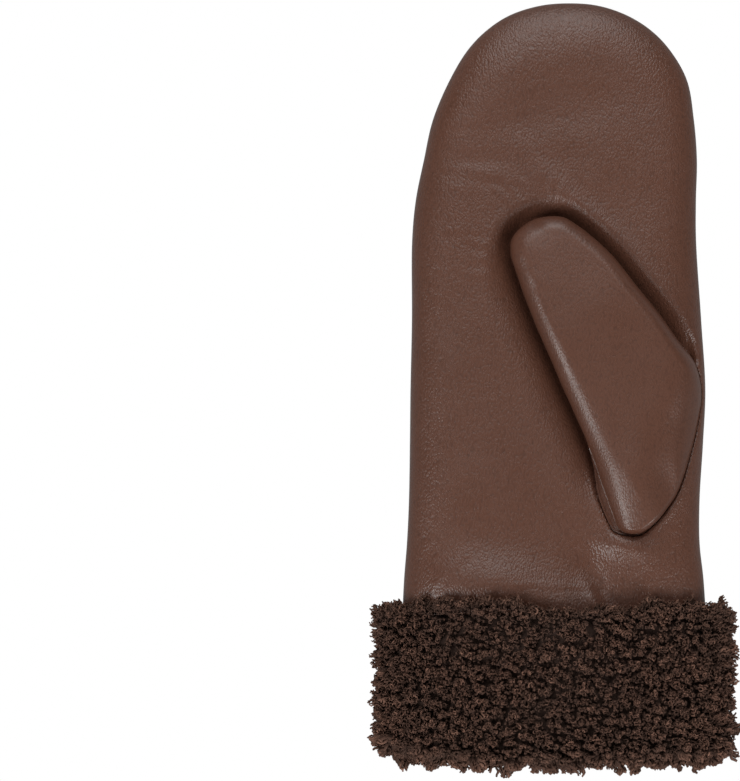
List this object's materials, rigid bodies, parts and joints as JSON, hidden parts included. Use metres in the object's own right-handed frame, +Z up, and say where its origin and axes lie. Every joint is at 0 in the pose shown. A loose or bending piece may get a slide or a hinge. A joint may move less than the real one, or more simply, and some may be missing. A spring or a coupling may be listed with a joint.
{
  "type": "leather mitten",
  "caption": "Leather mitten for the right hand, lying palm up, with its thumb folded across the palm and a deep curly fur cuff at the wrist.",
  "frame": {"origin": "bottom centre of the box around the mitten, on the surface it lies on", "axes": "+Y from the cuff to the fingertips, +X towards the thumb's side, +Z up out of the palm"},
  "size_m": [0.1376, 0.2839, 0.0437],
  "materials": {
    "leather": "smooth brown nappa leather with a soft sheen",
    "fur": "dark brown curly shearling pile, matte"
  },
  "bodies": {
    "root": {"palm_panel": "leather", "back_panel": "leather", "thumb": "leather", "fur_cuff": "fur"}
  },
  "joints": []
}
